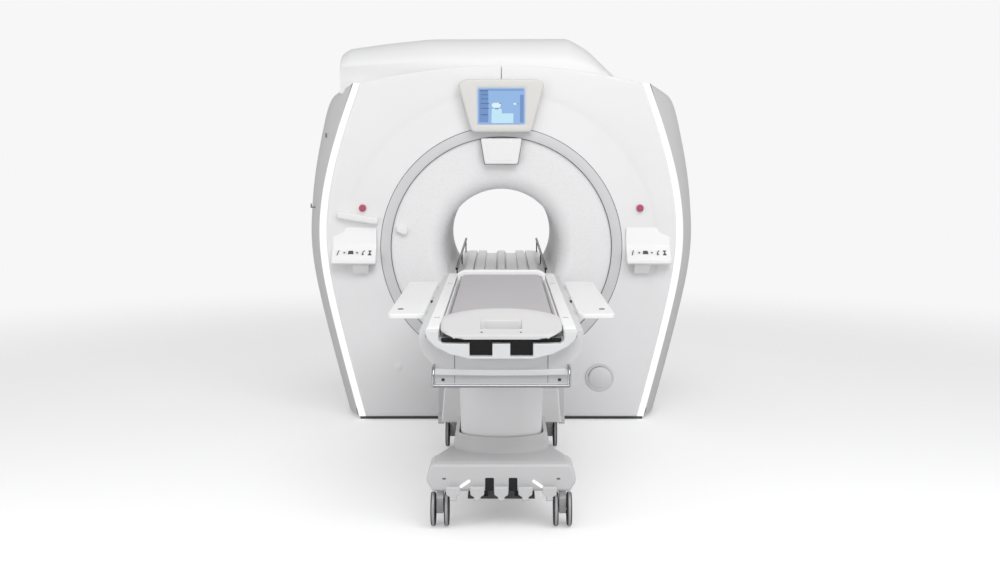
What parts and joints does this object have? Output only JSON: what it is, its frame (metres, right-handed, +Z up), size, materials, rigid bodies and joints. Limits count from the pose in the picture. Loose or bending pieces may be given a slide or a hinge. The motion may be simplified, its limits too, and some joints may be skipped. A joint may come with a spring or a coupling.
{
  "type": "mri scanner",
  "caption": "Whole-body scanner: tube magnet in moulded covers with light strips, display and keypads, and a docking patient table on casters with a sliding cradle.",
  "frame": {"origin": "on the floor, straight below the middle of the tube", "axes": "+X to the right seen from the patient table, +Y from the table into the tube, +Z up"},
  "size_m": [2.3614, 4.612, 2.325],
  "materials": {
    "cover_white": "satin moulded cover",
    "flare_white": "satin moulded cover",
    "liner_white": "satin",
    "side_grey": "satin moulded cover",
    "ring_grey": "satin",
    "housing_white": "satin",
    "housing_grey": "satin",
    "cover_grey": "satin",
    "screen_glass": "gloss panel, lit",
    "light_strip": "lit diffuser",
    "signal_red": "gloss",
    "dark_trim": "matt",
    "dark_steel": "powder coat",
    "steel_paint": "enamel",
    "bright_steel": "ground",
    "copper_winding": "lacquered",
    "resin": "cast resin",
    "bridge_grey": "satin",
    "sleeve_grey": "satin",
    "base_grey": "satin",
    "tub_grey": "satin",
    "rail_grey": "satin",
    "cradle_grey": "satin",
    "pad_fabric": "coated cloth",
    "bright_bar": "polished",
    "fork_grey": "satin",
    "wheel_rubber": "matt"
  },
  "bodies": {
    "magnet": {"base_frame": "dark_steel", "vacuum_vessel": "steel_paint", "coil_former": "resin", "magnet_coils": "copper_winding", "gradient_coil": "resin", "rf_body_coil": "resin", "bore_liner": "liner_white", "cold_head": "steel_paint", "trim_ring": "ring_grey", "flare_funnel": "flare_white", "top_cover": "cover_white", "rear_cover": "cover_white", "display_housing": "housing_grey", "display_screen": "screen_glass", "light_housing": "housing_white", "port_bezel": "ring_grey", "port_cap": "cover_grey", "accessory_shelf": "housing_grey", "side_hooks": "dark_trim", "bore_bridge": "bridge_grey", "rear_pedestal": "cover_grey", "dock_socket": "cover_grey", "front_cover_left": "cover_white", "front_cover_right": "cover_white", "led_strip_left": "light_strip", "led_strip_right": "light_strip", "side_cover_left": "side_grey", "side_cover_right": "side_grey", "control_panel_left": "housing_white", "control_panel_right": "housing_white"},
    "table_base": {"base_chassis": "dark_steel", "base_cover": "base_grey", "rear_housing": "housing_white", "lift_cylinder": "dark_steel"},
    "table_top": {"column_sleeve": "sleeve_grey", "lift_ram": "bright_steel", "table_frame": "tub_grey", "foot_fascia": "housing_white", "push_bar": "bright_bar", "side_rail_left": "rail_grey", "side_rail_right": "rail_grey"},
    "cradle": {"cradle_shell": "cradle_grey", "cushion": "pad_fabric"},
    "arm_left": {"arm_board_left": "housing_white"},
    "arm_right": {"arm_board_right": "housing_white"},
    "stop_left": {"estop_button_left": "signal_red"},
    "stop_right": {"estop_button_right": "signal_red"},
    "pedal_1": {"pedal_1": "base_grey"},
    "pedal_2": {"pedal_2": "base_grey"},
    "pedal_3": {"pedal_3": "base_grey"},
    "pedal_4": {"pedal_4": "base_grey"},
    "pedal_5": {"pedal_5": "base_grey"},
    "caster_front_left": {"caster_fork_front_left": "fork_grey"},
    "wheels_front_left": {"caster_wheels_front_left": "wheel_rubber"},
    "caster_front_right": {"caster_fork_front_right": "fork_grey"},
    "wheels_front_right": {"caster_wheels_front_right": "wheel_rubber"},
    "caster_rear_left": {"caster_fork_rear_left": "fork_grey"},
    "wheels_rear_left": {"caster_wheels_rear_left": "wheel_rubber"},
    "caster_rear_right": {"caster_fork_rear_right": "fork_grey"},
    "wheels_rear_right": {"caster_wheels_rear_right": "wheel_rubber"}
  },
  "joints": [
    {"name": "table_undock", "type": "slide", "parent": "magnet", "child": "table_base", "axis": [0, 1, 0], "range_m": [-0.6, 0]},
    {"name": "table_lift", "type": "slide", "parent": "table_base", "child": "table_top", "axis": [0, 0, 1], "range_m": [-0.24, 0]},
    {"name": "cradle_slide", "type": "slide", "parent": "table_top", "child": "cradle", "axis": [0, 1, 0], "range_m": [0, 1.5]},
    {"name": "arm_board_left_fold", "type": "hinge", "parent": "table_top", "child": "arm_left", "pos_m": [-0.358, -2.06, 0.886], "axis": [0, -1, 0], "range_deg": [0, 90]},
    {"name": "arm_board_right_fold", "type": "hinge", "parent": "table_top", "child": "arm_right", "pos_m": [0.358, -2.06, 0.886], "axis": [0, 1, 0], "range_deg": [0, 90]},
    {"name": "estop_press_left", "type": "slide", "parent": "magnet", "child": "stop_left", "axis": [0, 1, 0], "range_m": [0, 0.006], "stiffness_N_per_m": 900},
    {"name": "estop_press_right", "type": "slide", "parent": "magnet", "child": "stop_right", "axis": [0, 1, 0], "range_m": [0, 0.006], "stiffness_N_per_m": 900},
    {"name": "pedal_1_press", "type": "hinge", "parent": "table_base", "child": "pedal_1", "pos_m": [-0.208, -2.992, 0.178], "axis": [1, 0, 0], "range_deg": [0, 10], "stiffness_Nm_per_rad": 14, "springref_deg": -6.88},
    {"name": "pedal_2_press", "type": "hinge", "parent": "table_base", "child": "pedal_2", "pos_m": [-0.104, -2.992, 0.178], "axis": [1, 0, 0], "range_deg": [0, 10], "stiffness_Nm_per_rad": 14, "springref_deg": -6.88},
    {"name": "pedal_3_press", "type": "hinge", "parent": "table_base", "child": "pedal_3", "pos_m": [0, -2.992, 0.178], "axis": [1, 0, 0], "range_deg": [0, 10], "stiffness_Nm_per_rad": 14, "springref_deg": -6.88},
    {"name": "pedal_4_press", "type": "hinge", "parent": "table_base", "child": "pedal_4", "pos_m": [0.104, -2.992, 0.178], "axis": [1, 0, 0], "range_deg": [0, 10], "stiffness_Nm_per_rad": 14, "springref_deg": -6.88},
    {"name": "pedal_5_press", "type": "hinge", "parent": "table_base", "child": "pedal_5", "pos_m": [0.208, -2.992, 0.178], "axis": [1, 0, 0], "range_deg": [0, 10], "stiffness_Nm_per_rad": 14, "springref_deg": -6.88},
    {"name": "swivel_front_left", "type": "hinge", "parent": "table_base", "child": "caster_front_left", "pos_m": [-0.268, -2.985, 0.16], "axis": [0, 0, 1], "continuous": true},
    {"name": "wheel_spin_front_left", "type": "hinge", "parent": "caster_front_left", "child": "wheels_front_left", "pos_m": [-0.268, -3.01, 0.075], "axis": [1, 0, 0], "continuous": true},
    {"name": "swivel_front_right", "type": "hinge", "parent": "table_base", "child": "caster_front_right", "pos_m": [0.268, -2.985, 0.16], "axis": [0, 0, 1], "continuous": true},
    {"name": "wheel_spin_front_right", "type": "hinge", "parent": "caster_front_right", "child": "wheels_front_right", "pos_m": [0.268, -3.01, 0.075], "axis": [1, 0, 0], "continuous": true},
    {"name": "swivel_rear_left", "type": "hinge", "parent": "table_base", "child": "caster_rear_left", "pos_m": [-0.268, -1.515, 0.16], "axis": [0, 0, 1], "continuous": true},
    {"name": "wheel_spin_rear_left", "type": "hinge", "parent": "caster_rear_left", "child": "wheels_rear_left", "pos_m": [-0.268, -1.54, 0.075], "axis": [1, 0, 0], "continuous": true},
    {"name": "swivel_rear_right", "type": "hinge", "parent": "table_base", "child": "caster_rear_right", "pos_m": [0.268, -1.515, 0.16], "axis": [0, 0, 1], "continuous": true},
    {"name": "wheel_spin_rear_right", "type": "hinge", "parent": "caster_rear_right", "child": "wheels_rear_right", "pos_m": [0.268, -1.54, 0.075], "axis": [1, 0, 0], "continuous": true}
  ]
}
